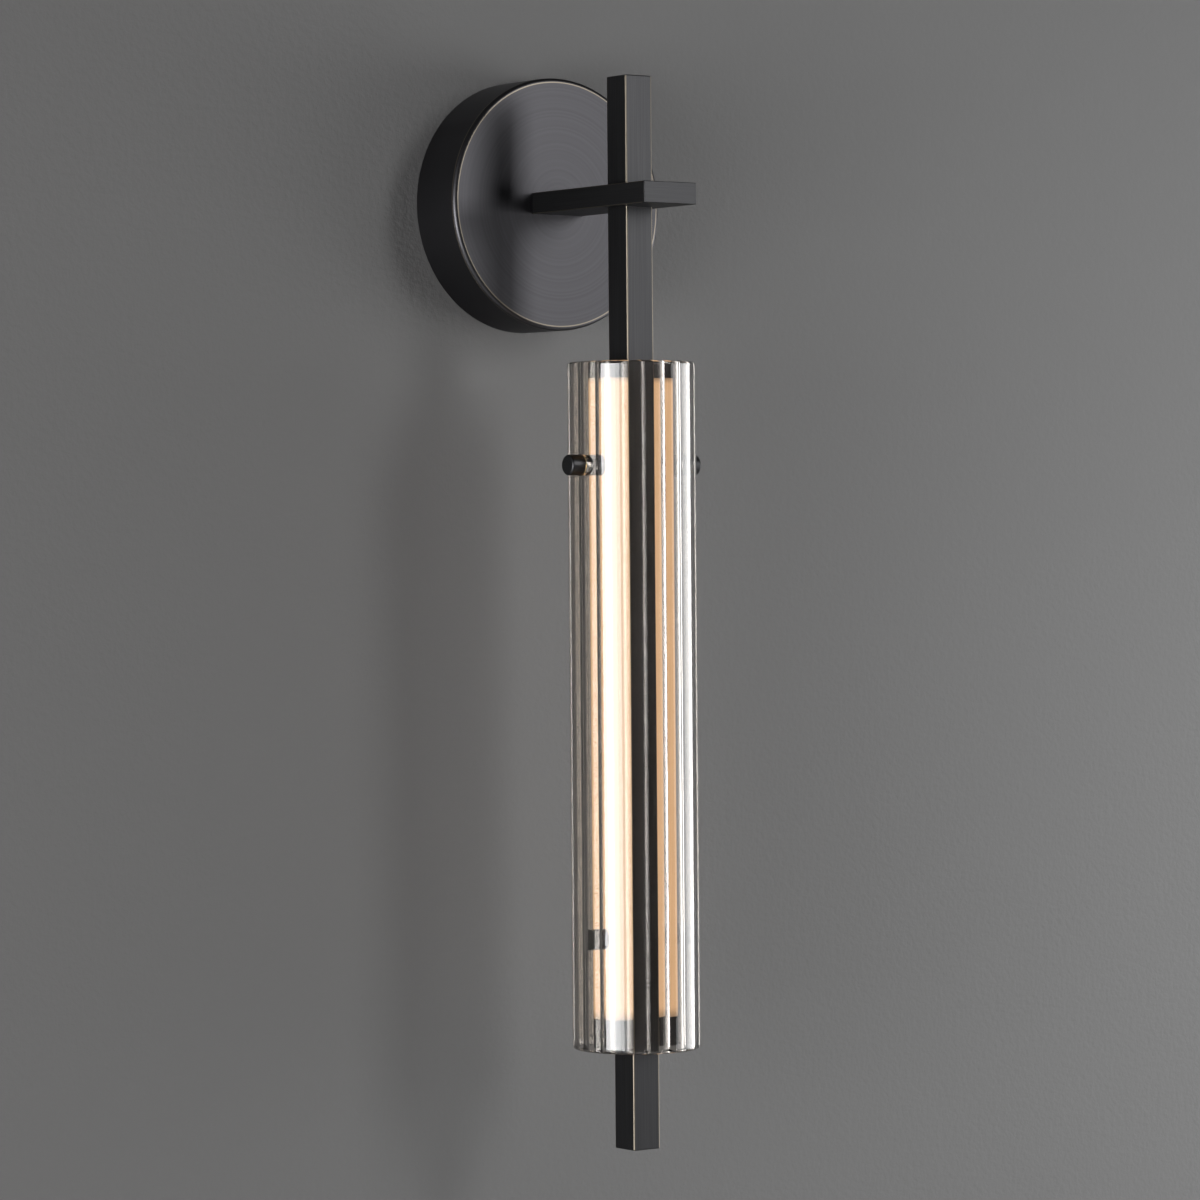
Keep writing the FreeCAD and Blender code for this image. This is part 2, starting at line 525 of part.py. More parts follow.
# Light strips: on each side of the bar a channel, a board of chips, a milky cover over both,
# and a metal block at either end of the cover
STRIP_LOW = "( -1 * strip_top - strip_length )"
RIM = "( strip_width / 2 )"
NEST = "( strip_width / 2 - cover_wall )"
NEAR = "( bar_side / 2 + channel_base )"
BORE = "( glass_dia / 2 - glass_wall )"
CROWN = f"( {BORE} - strip_glass_gap )"
for side, turn in SIDES:
    body = new_body(f"channel_{side}")
    flank = f"( {NEST} - plug_gap )"
    top = f"( bar_side / 2 + ( {CROWN} - bar_side / 2 ) * channel_share )"
    section = outline(sketch_on(body, f"channel_{side}_section", "XY_Plane"), [
        ("bar_side / 2", f"-1 * {flank}"),
        (top, f"-1 * {flank}"),
        (top, f"channel_wall - {flank}"),
        (NEAR, f"channel_wall - {flank}"),
        (NEAR, f"{flank} - channel_wall"),
        (top, f"{flank} - channel_wall"),
        (top, flank),
        ("bar_side / 2", flank),
    ])
    pad(body, f"channel_{side}_run", section, "strip_length")
    holes = sketch_on(body, f"channel_{side}_holes", "YZ_Plane")
    for depth in ("upper_fix", "lower_fix"):
        circle(holes, "0", f"-1 * {depth} - {STRIP_LOW}", "rod_dia / 2 + plug_gap")
    circle(holes, "0", "strip_lead_place", "strip_lead_hole / 2")
    circle(holes, "0", "strip_length - strip_lead_place", "strip_lead_hole / 2")
    pocket(body, f"channel_{side}_drilled", holes, "bar_side + overrun", back=True)
    keep(seat(body, y="-1 * bar_out", z=STRIP_LOW, turn=turn), f"strip_channel_{side}")

    body = new_body(f"board_{side}")
    section = outline(sketch_on(body, f"board_{side}_section", "XY_Plane"), [
        (NEAR, "-1 * board_width / 2"), (f"{NEAR} + board_wall", "-1 * board_width / 2"),
        (f"{NEAR} + board_wall", "board_width / 2"), (NEAR, "board_width / 2")])
    pad(body, f"board_{side}_run", section, "strip_length - 2 * board_margin")
    holes = sketch_on(body, f"board_{side}_holes", "YZ_Plane")
    for depth in ("upper_fix", "lower_fix"):
        circle(holes, "0", f"-1 * {depth} - {STRIP_LOW} - board_margin",
               "neck_dia / 2 + seat_gap")
    pocket(body, f"board_{side}_drilled", holes, "bar_side + overrun", back=True)
    keep(seat(body, y="-1 * bar_out", z=f"{STRIP_LOW} + board_margin", turn=turn),
         f"strip_board_{side}")

    chips = []
    count = int(size("strip_length - 2 * board_margin") // size("chip_pitch"))
    for number in range(count):
        place = f"( {STRIP_LOW} + strip_length / 2 + chip_pitch * {number - (count - 1) / 2} )"
        from_rods = [abs(size(f"{place} + {depth}")) for depth in ("upper_fix", "lower_fix")]
        if min(from_rods) > size("chip_clear"):
            chips.append(block(f"chip_{side}_{number}", "chip_height", "chip_width", "chip_length",
                               f"{NEAR} + board_wall", "-1 * chip_width / 2",
                               f"{place} - chip_length / 2"))
    keep(seat(group(f"chips_{side}_group", chips), y="-1 * bar_out", turn=turn), f"chips_{side}")

    body = new_body(f"cover_{side}")
    ledge = f"( {NEST} - cover_ledge )"
    section = outline(sketch_on(body, f"cover_{side}_section", "XY_Plane"), [
        ("bar_side / 2", f"-1 * {RIM}"),
        (CROWN, f"-1 * {RIM}"),
        (CROWN, RIM),
        ("bar_side / 2", RIM),
        ("bar_side / 2", NEST),
        (f"{top} + plug_gap", NEST),
        (f"{top} + plug_gap", ledge),
        (f"{top} + plug_gap + cover_wall", ledge),
        (f"{top} + plug_gap + cover_wall", NEST),
        (f"{CROWN} - cover_wall", NEST),
        (f"{CROWN} - cover_wall", f"-1 * {NEST}"),
        (f"{top} + plug_gap + cover_wall", f"-1 * {NEST}"),
        (f"{top} + plug_gap + cover_wall", f"-1 * {ledge}"),
        (f"{top} + plug_gap", f"-1 * {ledge}"),
        (f"{top} + plug_gap", f"-1 * {NEST}"),
        ("bar_side / 2", f"-1 * {NEST}"),
    ])
    pad(body, f"cover_{side}_run", section, "strip_length")
    dress(body, "Fillet", f"cover_{side}_bends", "cover_bend",
          lambda edge: upright_edge(edge) and flat_near(edge, "X", size(CROWN)))
    holes = sketch_on(body, f"cover_{side}_holes", "YZ_Plane")
    for depth in ("upper_fix", "lower_fix"):
        circle(holes, "0", f"-1 * {depth} - {STRIP_LOW}", "neck_dia / 2 + seat_gap")
    pocket(body, f"cover_{side}_drilled", holes, f"{CROWN} + overrun", back=True)
    keep(seat(body, y="-1 * bar_out", z=STRIP_LOW, turn=turn), f"strip_cover_{side}")

    ends = []
    for name, low, height in (("top", "-1 * strip_top", "end_block_top"),
                              ("bottom", f"{STRIP_LOW} - end_block_bottom", "end_block_bottom")):
        body = new_body(f"end_{side}_{name}")
        section = outline(sketch_on(body, f"end_{side}_{name}_section", "XY_Plane"), [
            ("bar_side / 2", f"-1 * {RIM}"), (CROWN, f"-1 * {RIM}"), (CROWN, RIM),
            ("bar_side / 2", RIM)])
        pad(body, f"end_{side}_{name}_run", section, height)
        dress(body, "Fillet", f"end_{side}_{name}_bends", "cover_bend",
              lambda edge: upright_edge(edge) and flat_near(edge, "X", size(CROWN)))
        ends.append(seat(body, z=low))
    keep(seat(group(f"strip_ends_{side}_group", ends), y="-1 * bar_out", turn=turn),
         f"strip_ends_{side}")

# Cross rods: two threaded rods through the bar carry the spacers on both sides. A spacer ends
# short of the flute that faces it, by the thickness of its gasket at the gasket's edge
FLUTE_MID = f"( {BORE} + flute_depth - flute_dia / 2 )"
FLUTE_EDGE = "sqrt( ( flute_dia / 2 - glass_gap ) ^ 2 - ( spacer_dia / 2 ) ^ 2 )"
SPACER_OUT = f"( {FLUTE_MID} + {FLUTE_EDGE} - gasket_wall )"
STEM_IN = f"( {SPACER_OUT} - knob_grip )"
ROD_OUT = f"( {STEM_IN} - rod_clear )"
for name, depth in (("upper", "upper_fix"), ("lower", "lower_fix")):
    keep(rod(f"cross_rod_{name}_stem", "rod_dia / 2", f"2 * {ROD_OUT}", x=f"-1 * {ROD_OUT}",
             y="-1 * bar_out", z=f"-1 * {depth}", along=ACROSS), f"cross_rod_{name}")

# Glass tube: thick clear glass, smooth outside, scalloped inside by wide flutes that meet in
# ridges, bevelled inside both ends and drilled for the two knobs
body = new_body("glass")
section = outline(sketch_on(body, "glass_section", "XZ_Plane"), [
    (BORE, "-1 * glass_bevel"),
    (f"{BORE} + glass_bevel", "0"),
    ("glass_dia / 2", "0"),
    ("glass_dia / 2", "-1 * glass_length"),
    (f"{BORE} + glass_bevel", "-1 * glass_length"),
    (BORE, "glass_bevel - glass_length"),
])
turned(body, "glass_pipe", section, "V_Axis")
groove = sketch_on(body, "flute_section", "XY_Plane")
circle(groove, FLUTE_MID, "0", "flute_dia / 2")
flute = pocket(body, "flute", groove, "glass_length")
flutes = body.newObject("PartDesign::PolarPattern", "flutes")
flutes.Originals = [flute]
flutes.Axis = (groove, ["N_Axis"])
flutes.Angle = 360
bind(flutes, Occurrences="flute_count")
body.Tip = flutes
holes = sketch_on(body, "glass_hole", "YZ_Plane")
circle(holes, "0", "glass_top - upper_fix", "glass_hole_dia / 2")
pocket(body, "glass_holes", holes, "glass_dia + overrun", middle=True)
for name, start, back in (("left", "recess_depth - glass_dia / 2", False),
                          ("right", "glass_dia / 2 - recess_depth", True)):
    drawing = sketch_on(body, f"glass_recess_{name}_circle", "YZ_Plane")
    circle(drawing, "0", "glass_top - upper_fix", "spacer_dia / 2 + recess_gap")
    drawing.setExpression(".AttachmentOffset.Base.z", formula(start))
    pocket(body, f"glass_recess_{name}", drawing, "recess_depth + overrun", back=back)
dress(body, "Fillet", "glass_rims", "glass_edge", rings("glass_dia / 2", UPWARD))
keep(seat(body, y="-1 * bar_out", z="-1 * glass_top"), "glass_tube")

# Spacers, gaskets and tips: turned sleeves screwed on the rods, rubber against the glass
for side, turn in SIDES:
    for name, depth in (("upper", "upper_fix"), ("lower", "lower_fix")):
        body = new_body(f"spacer_{name}_{side}")
        section = outline(sketch_on(body, f"spacer_{name}_{side}_section", "XY_Plane"), [
            (NEAR, "rod_dia / 2 + thread_gap"),
            (SPACER_OUT, "rod_dia / 2 + thread_gap"),
            (SPACER_OUT, "spacer_dia / 2"),
            (f"{CROWN} + seat_gap", "spacer_dia / 2"),
            (f"{CROWN} + seat_gap", "neck_dia / 2"),
            (NEAR, "neck_dia / 2"),
        ])
        turned(body, f"spacer_{name}_{side}_turned", section, "H_Axis")
        dress(body, "Chamfer", f"spacer_{name}_{side}_edges", "spacer_edge",
              rings("spacer_dia / 2", ACROSS))
        keep(seat(body, y="-1 * bar_out", z=f"-1 * {depth}", turn=turn), f"spacer_{name}_{side}")

        disc = rod(f"pad_{name}_{side}_disc", "spacer_dia / 2", BORE, x=SPACER_OUT,
                   z=f"-1 * {depth}", along=ACROSS)
        hollow = rod(f"pad_{name}_{side}_hollow", "flute_dia / 2 - glass_gap", "glass_length",
                     x=FLUTE_MID, z="-1 * glass_top - glass_length")
        shaped = overlap(f"pad_{name}_{side}_shaped", disc, hollow)
        if name == "upper":
            bore = rod(f"pad_{name}_{side}_bore", "rod_dia / 2 + stem_gap", "glass_dia",
                       z=f"-1 * {depth}", along=ACROSS)
            piece = cut(f"gasket_{side}_cut", shaped, bore)
            keep(seat(piece, y="-1 * bar_out", turn=turn), f"inner_gasket_{side}")
        else:
            plug = rod(f"pad_{name}_{side}_plug", "rod_dia / 2", "tip_plug",
                       x=f"{SPACER_OUT} - tip_plug", z=f"-1 * {depth}", along=ACROSS)
            piece = join(f"tip_{side}_joined", shaped, plug)
            keep(seat(piece, y="-1 * bar_out", turn=turn), f"spacer_tip_{side}")

# Knobs: in each recess of the glass a rubber sleeve and a brass washer, then a turned knob
# whose stem passes through all of them into the upper spacer
FLOOR = "( glass_dia / 2 - recess_depth )"
FLANGE_OUT = f"( {FLOOR} + flange_wall )"
WASHER_OUT = f"( {FLANGE_OUT} + washer_wall )"
for side, turn in SIDES:
    inner_end = f"( {BORE} + flute_depth )"
    body = new_body(f"sleeve_{side}")
    section = outline(sketch_on(body, f"sleeve_{side}_section", "XY_Plane"), [
        (inner_end, "rod_dia / 2 + stem_gap"),
        (FLANGE_OUT, "rod_dia / 2 + stem_gap"),
        (FLANGE_OUT, "spacer_dia / 2"),
        (FLOOR, "spacer_dia / 2"),
        (FLOOR, "glass_hole_dia / 2 - sleeve_gap"),
        (inner_end, "glass_hole_dia / 2 - sleeve_gap"),
    ])
    turned(body, f"sleeve_{side}_turned", section, "H_Axis")
    keep(seat(body, y="-1 * bar_out", z="-1 * upper_fix", turn=turn), f"glass_sleeve_{side}")

    body = new_body(f"washer_{side}")
    section = outline(sketch_on(body, f"washer_{side}_section", "XY_Plane"), [
        (FLANGE_OUT, "rod_dia / 2 + washer_gap"),
        (WASHER_OUT, "rod_dia / 2 + washer_gap"),
        (WASHER_OUT, "knob_dia / 2"),
        (FLANGE_OUT, "knob_dia / 2"),
    ])
    turned(body, f"washer_{side}_turned", section, "H_Axis")
    dress(body, "Chamfer", f"washer_{side}_edges", "washer_edge", rings("knob_dia / 2", ACROSS))
    keep(seat(body, y="-1 * bar_out", z="-1 * upper_fix", turn=turn), f"knob_washer_{side}")

    body = new_body(f"knob_{side}")
    knob_out = f"( {WASHER_OUT} + knob_length )"
    section = outline(sketch_on(body, f"knob_{side}_section", "XY_Plane"), [
        (STEM_IN, "0"),
        (knob_out, "0"),
        (knob_out, "knob_dia / 2"),
        (WASHER_OUT, "knob_dia / 2"),
        (WASHER_OUT, "rod_dia / 2"),
        (STEM_IN, "rod_dia / 2"),
    ])
    turned(body, f"knob_{side}_turned", section, "H_Axis")
    knob_ring = rings("knob_dia / 2", ACROSS)
    dress(body, "Fillet", f"knob_{side}_nose", "knob_edge",
          lambda edge: knob_ring(edge) and flat_near(edge, "X", size(knob_out)))
    keep(seat(body, y="-1 * bar_out", z="-1 * upper_fix", turn=turn), f"thumb_knob_{side}")

# Driver: a closed housing with two ears, on studs welded inside the canopy
front_inside = "( canopy_wall - canopy_depth )"
half_wide = "( canopy_dia * driver_width_share / 2 )"
half_tall = "( canopy_dia * driver_height_share / 2 )"
driver_top = "( -1 * canopy_dia * driver_drop_share )"
driver_mid = f"( {driver_top} - {half_tall} )"
body = new_body("driver")
base = oblong(sketch_on(body, "driver_outline", "XZ_Plane"), half_wide, half_tall)
pad(body, "driver_housing", base, "driver_depth", back=True)
dress(body, "Fillet", "driver_edges", "driver_bend",
      lambda edge: outward_edge(edge) or flat_near(edge, "Y", size("driver_depth")))
ears = oblong(sketch_on(body, "driver_ears", "XZ_Plane"), f"( {half_wide} + ear_length )",
              "ear_width / 2")
pad(body, "driver_ear_plate", ears, "ear_wall", back=True)
ear_holes = sketch_on(body, "driver_ear_holes", "XZ_Plane")
ear_place = f"( {half_wide} + ear_length / 2 )"
for place in (f"-1 * {ear_place}", ear_place):
    circle(ear_holes, place, "0", "stud_dia / 2 + plug_gap")
pocket(body, "driver_ear_drilled", ear_holes, "ear_wall * 2 + overrun", middle=True)
keep(seat(body, y=front_inside, z=driver_mid), "led_driver")

# Terminal block: three poles side by side on a common foot, each with two clamping screws
block_mid = "( block_rise + block_height / 2 )"
body = new_body("terminal")
tower = sketch_on(body, "terminal_towers_outline", "XZ_Plane")
for pole in (-1, 0, 1):
    left = f"pole_pitch * {pole} - ( pole_pitch - pole_gap ) / 2"
    right = f"pole_pitch * {pole} + ( pole_pitch - pole_gap ) / 2"
    outline(tower, [(left, "-1 * block_height / 2"), (right, "-1 * block_height / 2"),
                    (right, "block_height / 2"), (left, "block_height / 2")])
pad(body, "terminal_towers", tower, "block_depth", back=True)
wells = sketch_on(body, "terminal_wells_outline", "XZ_Plane")
for pole in (-1, 0, 1):
    for row in (-1, 1):
        circle(wells, "0" if pole == 0 else f"pole_pitch * {pole}",
               f"block_height / 4 * {row}", "pole_screw_dia / 2 + thread_gap")
pocket(body, "terminal_wells", wells, "block_depth + overrun")
foot = oblong(sketch_on(body, "terminal_foot_outline", "XZ_Plane"), "block_width / 2",
              "block_height / 2")
pad(body, "terminal_foot", foot, "block_base", back=True)
entries = sketch_on(body, "terminal_entries", "XY_Plane")
for pole in (-1, 0, 1):
    circle(entries, "0" if pole == 0 else f"pole_pitch * {pole}",
           "block_base + pole_entry_dia / 2", "pole_entry_dia / 2")
pocket(body, "terminal_bores", entries, "block_height + overrun", middle=True)
foot_holes = sketch_on(body, "terminal_foot_holes", "XZ_Plane")
block_stud = "( pole_pitch * 3 / 2 + ( block_width - pole_pitch * 3 ) / 4 )"
for place in (f"-1 * {block_stud}", block_stud):
    circle(foot_holes, place, "0", "stud_dia / 2 + plug_gap")
pocket(body, "terminal_drilled", foot_holes, "block_base * 2 + overrun", middle=True)
keep(seat(body, y=front_inside, z=block_mid), "terminal_block")

clamps = []
clamp_low = f"{front_inside} + block_depth - pole_screw_recess - pole_screw_length"
for pole in (-1, 0, 1):
    for row in (-1, 1):
        clamps.append(rod(f"clamp_{pole + 1}_{row + 1}", "pole_screw_dia / 2", "pole_screw_length",
                          x=f"pole_pitch * {pole}", y=clamp_low,
                          z=f"{block_mid} + block_height / 4 * {row}", along=OUTWARD))
keep(seat(group("terminal_screws_group", clamps)), "terminal_screws")

# Studs and nuts: four studs welded inside the canopy, and the nuts that hold driver and block
studs = []
nuts = []
for name, x, z, lift in (("driver_left", f"-1 * {ear_place}", driver_mid, "ear_wall"),
                         ("driver_right", ear_place, driver_mid, "ear_wall"),
                         ("block_left", f"-1 * {block_stud}", block_mid, "block_base"),
                         ("block_right", block_stud, block_mid, "block_base")):
    studs.append(rod(f"stud_{name}", "stud_dia / 2", f"{lift} + stud_length", x=x,
                     y=front_inside, z=z, along=OUTWARD))
    solid = nut(f"nut_{name}_solid", "nut_flats", "nut_wall", x, f"{front_inside} + {lift}", z)
    hole = rod(f"nut_{name}_hole", "stud_dia / 2 + thread_gap", "nut_wall + overrun * 2",
               x=x, y=f"{front_inside} + {lift} - overrun", z=z, along=OUTWARD)
    nuts.append(cut(f"nut_{name}", solid, hole))
keep(seat(group("canopy_studs_group", studs)), "canopy_studs")
keep(seat(group("canopy_nuts_group", nuts)), "canopy_nuts")

# Earth screw and lug on the strap
shank = rod("earth_shank", "earth_screw_dia / 2", "strap_wall + lug_wall",
            y="-1 * strap_wall - lug_wall", z=EARTH_UP, along=OUTWARD)
head = rod("earth_head", "earth_head_dia / 2", "earth_head_wall",
           y="-1 * strap_wall - lug_wall - earth_head_wall", z=EARTH_UP, along=OUTWARD)
keep(seat(join("earth_screw_joined", shank, head)), "earth_screw")
disc = rod("lug_disc", "earth_head_dia / 2", "lug_wall", y="-1 * strap_wall - lug_wall",
           z=EARTH_UP, along=OUTWARD)
hole = rod("lug_hole", "earth_screw_dia / 2 + plug_gap", "lug_wall + overrun * 2",
           y="-1 * strap_wall - lug_wall - overrun", z=EARTH_UP, along=OUTWARD)
keep(seat(cut("earth_lug_cut", disc, hole)), "earth_lug")

# Leads that the light holds all the way, each along its real route
half_lead = "( lead_spacing / 2 )"
bar_back = "( -1 * bar_out )"
strip_feed = "( -1 * strip_top - strip_lead_place )"
for name, sign in (("plus", "-1"), ("minus", "1")):
    route = [
        (f"{sign} * lead_spread / 2", "-1 * lead_back", driver_top),
        (f"{sign} * lead_spread / 2", "-1 * lead_back", f"{driver_top} / 2"),
        (f"{sign} * {half_lead}", "-1 * lead_back", "0"),
        (f"{sign} * {half_lead}", bar_back, "0"),
        (f"{sign} * {half_lead}", bar_back, strip_feed),
        (f"{sign} * {NEAR}", bar_back, strip_feed),
    ]
    keep(lead(f"lead_{name}_tube", route, "lead_bend"), f"strip_lead_{name}")
link_height = "( strip_lead_place - strip_top - strip_length )"
keep(rod("series_link_tube", "lead_dia / 2", f"2 * {NEAR}", x=f"-1 * {NEAR}",
         y=bar_back, z=link_height, along=ACROSS), "series_link")
entry_level = f"( {front_inside} + block_base + pole_entry_dia / 2 )"
for name, sign in (("live", "-1"), ("neutral", "1")):
    route = [
        (f"{sign} * pole_pitch", entry_level, "block_rise + lead_tail"),
        (f"{sign} * pole_pitch", entry_level, "block_rise - lead_bend"),
        (f"{sign} * {half_wide} / 2", "-1 * lead_back", f"{driver_top} / 4"),
        (f"{sign} * {half_wide} / 2", "-1 * lead_back", driver_top),
    ]
    keep(lead(f"lead_{name}_tube", route, "lead_bend"), f"driver_lead_{name}")
lug_level = "-1 * strap_wall - lead_dia / 2"
route = [
    ("0", entry_level, "block_rise + block_height - lead_tail"),
    ("0", entry_level, "block_rise + block_height + lead_bend"),
    ("earth_lead_aside", lug_level, EARTH_UP),
    ("earth_head_dia / 2", lug_level, EARTH_UP),
]
keep(lead("lead_earth_tube", route, "lead_bend"), "earth_lead")

# Check every object and every sub-part, then write one file for each
doc.recompute()
for item in doc.Objects:
    if "Invalid" in item.State or "Error" in item.State:
        raise RuntimeError(f"{item.Name} failed: {item.State}")
for item in parts:
    if item.Shape.isNull() or not item.Shape.isValid():
        raise RuntimeError(f"{item.Label} has no valid shape")
    if len(item.Shape.Solids) == 0:
        raise RuntimeError(f"{item.Label} holds no solid")
os.makedirs("parts", exist_ok=True)
for item in parts:
    item.Shape.exportStep(f"parts/{item.Label}.step")
print(f"{len(parts)} sub-parts written")
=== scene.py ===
import math

import bpy
import numpy as np
from mathutils import Matrix, Vector


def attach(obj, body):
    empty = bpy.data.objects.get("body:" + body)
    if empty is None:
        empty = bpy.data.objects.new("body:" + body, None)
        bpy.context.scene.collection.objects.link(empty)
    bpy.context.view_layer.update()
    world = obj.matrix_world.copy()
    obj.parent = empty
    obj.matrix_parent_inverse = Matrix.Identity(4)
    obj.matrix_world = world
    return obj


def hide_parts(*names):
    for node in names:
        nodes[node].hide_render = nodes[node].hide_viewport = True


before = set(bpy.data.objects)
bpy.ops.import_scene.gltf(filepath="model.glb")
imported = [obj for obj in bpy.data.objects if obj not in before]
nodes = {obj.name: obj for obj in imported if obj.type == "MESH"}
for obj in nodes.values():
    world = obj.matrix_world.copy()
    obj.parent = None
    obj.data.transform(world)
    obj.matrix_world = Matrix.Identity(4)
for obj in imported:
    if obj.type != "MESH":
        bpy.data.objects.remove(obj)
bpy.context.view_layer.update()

# Camera: as far from the wall light as the photograph was taken, to the left of it and level
# with the upper part of the glass. The three angles turn it about the upright, tip it and
# roll it.
camera_place = Vector((-1.27797, -1.81169, -0.15694))
camera_turn = math.radians(-36.149)
camera_tip = math.radians(-0.822)
camera_roll = math.radians(-0.481)
sight = Vector((-math.sin(camera_turn) * math.cos(camera_tip),
                math.cos(camera_turn) * math.cos(camera_tip),
                math.sin(camera_tip)))
level = sight.cross(Vector((0, 0, 1))).normalized()
raised = level.cross(sight)
right = math.cos(camera_roll) * level + math.sin(camera_roll) * raised
up = math.cos(camera_roll) * raised - math.sin(camera_roll) * level
camera_data = bpy.data.cameras.new("camera")
camera_data.sensor_width = 36
camera_data.lens = 138
camera_data.clip_start = 0.05
camera_data.clip_end = 20
camera = bpy.data.objects.new("camera", camera_data)
camera.matrix_world = Matrix((
    (right.x, up.x, -sight.x, camera_place.x),
    (right.y, up.y, -sight.y, camera_place.y),
    (right.z, up.z, -sight.z, camera_place.z),
    (0, 0, 0, 1),
))
bpy.context.scene.collection.objects.link(camera)
bpy.context.scene.camera = camera
bpy.context.scene.view_settings.view_transform = "Standard"


# Wall and floor: a painted wall that the light hangs on, with painted light that makes it a
# little lighter to the right, where more light falls on it. It is seen only from its front, so
# that the open back of the canopy shows from behind. The floor below is pale.
class Tone:
    """A socket in a material's node tree. Arithmetic on values adds Math nodes."""

    def __init__(self, tree, socket):
        self.tree = tree
        self.socket = socket

    def node(self, kind, out=0, settings=None, **inputs):
        """Any other node: its type, its settings, and its sockets by name, or by number as in0."""
        made = self.tree.nodes.new(kind)
        for name, value in (settings or {}).items():
            setattr(made, name, value)
        for name, value in inputs.items():
            key = name.replace("_", " ")
            key = int(key[2:]) if key.startswith("in") and key[2:].isdigit() else key
            if isinstance(value, Tone):
                self.tree.links.new(value.socket, made.inputs[key])
            else:
                made.inputs[key].default_value = value
        return Tone(self.tree, made.outputs[out])

    def maths(self, operation, *values):
        keys = {f"in{place}": value for place, value in enumerate(values)}
        return self.node("ShaderNodeMath", settings={"operation": operation}, **keys)

    def __add__(self, other):
        return self.maths("ADD", self, other)

    def __radd__(self, other):
        return self.maths("ADD", other, self)

    def __sub__(self, other):
        return self.maths("SUBTRACT", self, other)

    def __rsub__(self, other):
        return self.maths("SUBTRACT", other, self)

    def __mul__(self, other):
        return self.maths("MULTIPLY", self, other)

    def __rmul__(self, other):
        return self.maths("MULTIPLY", other, self)

    def __pow__(self, other):
        return self.maths("POWER", self, other)

    def __abs__(self):
        return self.maths("ABSOLUTE", self)

    def axis(self, letter):
        """X, Y or Z of a place."""
        return self.node("ShaderNodeSeparateXYZ", out=letter, Vector=self)

    def smooth(self, low, high):
        """0 below low, 1 above high, and an S-shaped rise between them."""
        return self.node("ShaderNodeMapRange", settings={"interpolation_type": "SMOOTHSTEP"},
                         Value=self, From_Min=low, From_Max=high)

    def mix(self, first, second):
        """The first colour where this is 0, and the second where it is 1."""
        return self.node("ShaderNodeMix", out=2, settings={"data_type": "RGBA"},
                         in0=self, in6=first, in7=second)


def rgb(red, green, blue):
    """Linear colour with alpha from the 0 to 255 numbers of a display."""
    parts = [value / 255 for value in (red, green, blue)]
    parts = [p / 12.92 if p <= 0.04045 else ((p + 0.055) / 1.055) ** 2.4 for p in parts]
    return (*parts, 1)


def finish(name):
    """A new material: its start tone, its Principled shader and its output."""
    material = bpy.data.materials.new(name)
    material.use_nodes = True
    tree = material.node_tree
    tree.nodes.clear()
    shader = tree.nodes.new("ShaderNodeBsdfPrincipled")
    output = tree.nodes.new("ShaderNodeOutputMaterial")
    tree.links.new(shader.outputs[0], output.inputs["Surface"])
    place = tree.nodes.new("ShaderNodeTexCoord")
    return material, Tone(tree, place.outputs["Object"]), shader, output


def feed(shader, **inputs):
    """Sets or links the sockets of a shader, with _ for the blanks in their names."""
    for name, value in inputs.items():
        socket = shader.inputs[name.replace("_", " ")]
        if isinstance(value, Tone):
            value.tree.links.new(value.socket, socket)
        else:
            socket.default_value = value


def spread(name, corners, material):
    """A flat piece of the stage through four corners in order."""
    mesh = bpy.data.meshes.new(name)
    mesh.from_pydata(corners, [], [(0, 1, 2, 3)])
    mesh.materials.append(material)
    item = bpy.data.objects.new(name, mesh)
    bpy.context.scene.collection.objects.link(item)
    return item


floor_level = -1.25
floor_front = -4
wall_top = 2.5
wall_side = 3
painted_light_half_width = 0.55
wall_paint, place, shader, output = finish("wall_paint")
grain = place.node("ShaderNodeTexNoise", Vector=place, Scale=300.0, Detail=3.0, Roughness=0.6)
# Painted light: the wall's colour rises from left to right, standing in for the light that falls
# more on its right side.
painted_light_to_right = place.axis("X").smooth(-painted_light_half_width, painted_light_half_width)
feed(shader, Base_Color=painted_light_to_right.mix(rgb(90, 89, 89), rgb(101, 101, 101)), Roughness=0.7,
     Normal=grain.node("ShaderNodeBump", Height=grain, Strength=0.6, Distance=0.0006))
behind = place.node("ShaderNodeNewGeometry", out="Backfacing")
seen = wall_paint.node_tree.nodes.new("ShaderNodeMixShader")
clear = wall_paint.node_tree.nodes.new("ShaderNodeBsdfTransparent")
wall_paint.node_tree.links.new(behind.socket, seen.inputs[0])
wall_paint.node_tree.links.new(shader.outputs[0], seen.inputs[1])
wall_paint.node_tree.links.new(clear.outputs[0], seen.inputs[2])
wall_paint.node_tree.links.new(seen.outputs[0], output.inputs["Surface"])
wall = spread("wall", [(-wall_side, 0, floor_level), (wall_side, 0, floor_level),
                       (wall_side, 0, wall_top), (-wall_side, 0, wall_top)], wall_paint)
wall.visible_shadow = False

floor_paint, place, shader, output = finish("floor_paint")
feed(shader, Base_Color=rgb(205, 205, 204), Roughness=0.8)
spread("floor", [(-wall_side, floor_front, floor_level), (wall_side, floor_front, floor_level),
                 (wall_side, 0, floor_level), (-wall_side, 0, floor_level)], floor_paint)

# Studio light: a nearly dark room with a wide softbox on each side of the glass, which shows
# them as upright stripes, a dimmer one below each, a key lamp high on the right, and a lamp
# behind the wall for the open back of the canopy.
world = bpy.data.worlds.new("room")
bpy.context.scene.world = world
world.use_nodes = True
background = world.node_tree.nodes["Background"]
background.inputs["Color"].default_value = (0.5, 0.5, 0.51, 1)
background.inputs["Strength"].default_value = 0.1
bar_out = 0.0885


def softbox(name, place, aim, wide, tall, watts):
    """A lit rectangle that faces a point of the object."""
    lamp = bpy.data.lights.new(name, "AREA")
    lamp.shape = "RECTANGLE"
    lamp.size = wide
    lamp.size_y = tall
    lamp.energy = watts
    item = bpy.data.objects.new(name, lamp)
    item.location = place
    item.rotation_euler = (Vector(aim) - Vector(place)).to_track_quat("-Z", "Y").to_euler()
    bpy.context.scene.collection.objects.link(item)


